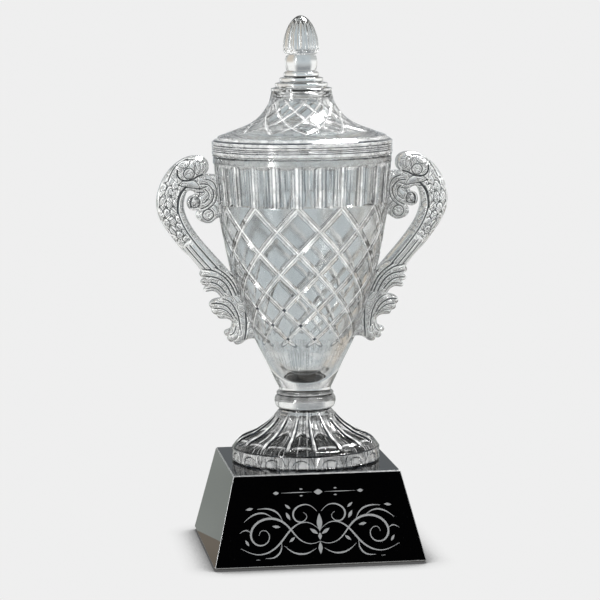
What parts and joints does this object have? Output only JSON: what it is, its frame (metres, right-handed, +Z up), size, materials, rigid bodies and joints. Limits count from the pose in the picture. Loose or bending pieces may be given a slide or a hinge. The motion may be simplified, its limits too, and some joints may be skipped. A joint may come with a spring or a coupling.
{
  "type": "cup trophy",
  "caption": "Lidded two-handled cup trophy of clear cut crystal on a fluted foot, bonded to a black glass block; the lid lifts off.",
  "frame": {"origin": "on the shelf, under the middle of the base block", "axes": "+Z up through the cup and the finial, +X towards the right-hand handle, -Y towards the front"},
  "size_m": [0.215, 0.1536, 0.394],
  "materials": {
    "crystal": "clear colourless cut crystal, polished",
    "black_glass": "opaque black glass, polished, with fine bright arrises and a frosted engraved ornament",
    "adhesive": "thin clear film of adhesive cured by ultraviolet light",
    "bumper": "translucent soft plastic"
  },
  "bodies": {
    "root": {"base_block": "black_glass", "bumper_front_left": "bumper", "bumper_front_right": "bumper", "bumper_back_left": "bumper", "bumper_back_right": "bumper", "foot_bond": "adhesive", "pedestal_foot": "crystal", "collar_bond_lower": "adhesive", "collar": "crystal", "collar_bond_upper": "adhesive", "cup": "crystal", "handle_right": "crystal", "handle_right_upper_bond": "adhesive", "handle_right_lower_bond": "adhesive", "handle_left": "crystal", "handle_left_upper_bond": "adhesive", "handle_left_lower_bond": "adhesive"},
    "lid": {"lid": "crystal", "finial_bond": "adhesive", "finial": "crystal"}
  },
  "joints": [
    {"name": "lid_lift", "type": "slide", "parent": "root", "child": "lid", "axis": [0, 0, 1], "range_m": [0, 0.09]}
  ]
}
